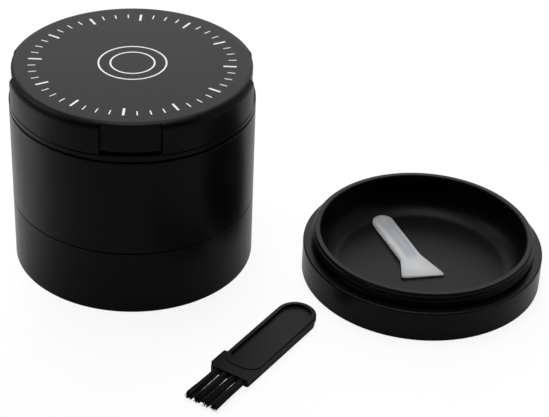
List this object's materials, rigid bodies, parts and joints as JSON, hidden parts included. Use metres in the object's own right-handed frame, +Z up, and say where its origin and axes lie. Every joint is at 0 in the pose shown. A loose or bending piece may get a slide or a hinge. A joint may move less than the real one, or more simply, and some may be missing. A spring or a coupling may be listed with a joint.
{
  "type": "herb grinder",
  "caption": "Round hand-turned herb grinder in stacked screw-together chambers with a toothed lid, a catch dish standing beside it, a scraper and a cleaning brush.",
  "frame": {"origin": "centre of the dish socket's mouth, at the middle of the stack's foot, on the table", "axes": "+Z up along the stack's axis, +X towards the catch dish, -Y towards the brush and the viewer"},
  "size_m": [0.1397, 0.102, 0.0552],
  "materials": {
    "anodised_aluminium": "black anodised, satin",
    "stainless_steel": "drawn wire",
    "nickel_plate": "nickel plated",
    "nylon": "turned, matte",
    "silicone": "moulded, matte",
    "polypropylene": "moulded, translucent white",
    "moulded_plastic": "moulded, satin black",
    "bristle": "nylon filament, black"
  },
  "bodies": {
    "lower_chamber": {"lower_chamber": "anodised_aluminium", "screen_mesh": "stainless_steel", "screen_ring": "stainless_steel"},
    "chamber_magnet": {"chamber_magnet": "nickel_plate"},
    "grinding_chamber": {"grinding_chamber": "anodised_aluminium"},
    "friction_ring": {"friction_ring": "nylon"},
    "lid_base": {"lid_base": "anodised_aluminium", "lid_magnet": "nickel_plate", "cover_seal": "silicone"},
    "lid_cover": {"lid_cover": "anodised_aluminium"},
    "catch_dish": {"catch_dish": "anodised_aluminium"},
    "scraper": {"scraper": "polypropylene"},
    "brush": {"brush_handle": "moulded_plastic", "tuft_anchors": "stainless_steel", "tuft_1": "bristle", "tuft_2": "bristle", "tuft_3": "bristle", "tuft_4": "bristle"}
  },
  "joints": [
    {"name": "chamber_rise", "type": "slide", "parent": "lower_chamber", "child": "chamber_magnet", "axis": [0, 0, 1], "range_m": [0, 0.00375]},
    {"name": "chamber_unscrew", "type": "hinge", "parent": "chamber_magnet", "child": "grinding_chamber", "pos_m": [0, 0, 0.018], "axis": [0, 0, 1], "range_deg": [0, 900]},
    {"name": "lid_lift", "type": "slide", "parent": "grinding_chamber", "child": "friction_ring", "axis": [0, 0, 1], "range_m": [0, 0.03]},
    {"name": "lid_spin", "type": "hinge", "parent": "friction_ring", "child": "lid_base", "pos_m": [0, 0, 0.0449], "axis": [0, 0, 1], "continuous": true},
    {"name": "cover_lift", "type": "slide", "parent": "lid_base", "child": "lid_cover", "axis": [0, 0, 1], "range_m": [0, 0.025]},
    {"name": "dish_lift", "type": "slide", "parent": "lower_chamber", "child": "catch_dish", "axis": [0, 0, 1], "range_m": [0, 0.04]},
    {"name": "scraper_lift", "type": "slide", "parent": "catch_dish", "child": "scraper", "axis": [0, 0, 1], "range_m": [0, 0.03]},
    {"name": "brush_lift", "type": "slide", "parent": "lower_chamber", "child": "brush", "axis": [0, 0, 1], "range_m": [0, 0.04]}
  ],
  "couplings": [
    {"joint": "chamber_rise", "follows": "chamber_unscrew", "m_per_rad": 0.00023873}
  ]
}
